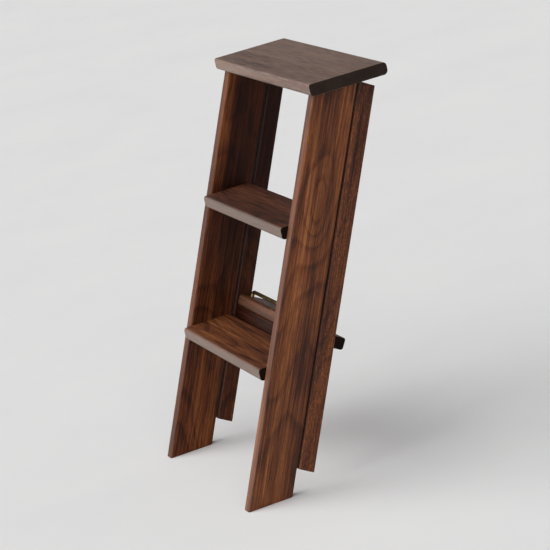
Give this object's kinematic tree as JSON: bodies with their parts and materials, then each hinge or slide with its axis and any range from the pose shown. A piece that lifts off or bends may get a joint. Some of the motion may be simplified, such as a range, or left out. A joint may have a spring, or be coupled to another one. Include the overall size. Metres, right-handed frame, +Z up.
{
  "type": "folding step ladder",
  "caption": "Folding walnut step ladder shown folded: leaning side panels, bullnosed treads and top board, hinged rear legs with a low rear tread and brass rail.",
  "frame": {"origin": "on the floor, under the middle of the folded ladder's bounding box", "axes": "+X to the climber's right as seen from the front, +Y from the front of the treads to the rear legs, +Z up; the treads are level in the rest pose"},
  "size_m": [0.444, 0.418, 0.7],
  "materials": {
    "walnut": "oiled dark walnut, satin",
    "beech_dowel": "plain beech",
    "brass": "satin brass"
  },
  "bodies": {
    "front_frame": {"top_board": "walnut", "middle_tread": "walnut", "lower_tread": "walnut", "left_side_panel": "walnut", "right_side_panel": "walnut", "left_lower_tread_front_dowel": "beech_dowel", "left_lower_tread_rear_dowel": "beech_dowel", "left_middle_tread_front_dowel": "beech_dowel", "left_middle_tread_rear_dowel": "beech_dowel", "left_top_front_dowel": "beech_dowel", "left_top_rear_dowel": "beech_dowel", "left_hinge_panel_leaf": "brass", "left_hinge_pin": "brass", "left_panel_hinge_screw_1": "brass", "left_panel_hinge_screw_2": "brass", "right_lower_tread_front_dowel": "beech_dowel", "right_lower_tread_rear_dowel": "beech_dowel", "right_middle_tread_front_dowel": "beech_dowel", "right_middle_tread_rear_dowel": "beech_dowel", "right_top_front_dowel": "beech_dowel", "right_top_rear_dowel": "beech_dowel", "right_hinge_panel_leaf": "brass", "right_hinge_pin": "brass", "right_panel_hinge_screw_1": "brass", "right_panel_hinge_screw_2": "brass"},
    "rear_frame": {"rear_tread": "walnut", "rear_stretcher": "walnut", "brass_rail": "brass", "left_rear_leg": "walnut", "right_rear_leg": "walnut", "left_rear_tread_front_dowel": "beech_dowel", "left_rear_tread_rear_dowel": "beech_dowel", "left_stretcher_upper_dowel": "beech_dowel", "left_stretcher_lower_dowel": "beech_dowel", "left_rail_screw": "brass", "left_hinge_leg_leaf": "brass", "left_leg_hinge_screw_1": "brass", "left_leg_hinge_screw_2": "brass", "right_rear_tread_front_dowel": "beech_dowel", "right_rear_tread_rear_dowel": "beech_dowel", "right_stretcher_upper_dowel": "beech_dowel", "right_stretcher_lower_dowel": "beech_dowel", "right_rail_screw": "brass", "right_hinge_leg_leaf": "brass", "right_leg_hinge_screw_1": "brass", "right_leg_hinge_screw_2": "brass"}
  },
  "joints": [
    {"name": "rear_frame_fold", "type": "hinge", "parent": "front_frame", "child": "rear_frame", "pos_m": [0, 0.15735, 0.6741], "axis": [1, 0, 0], "range_deg": [0, 30]}
  ]
}
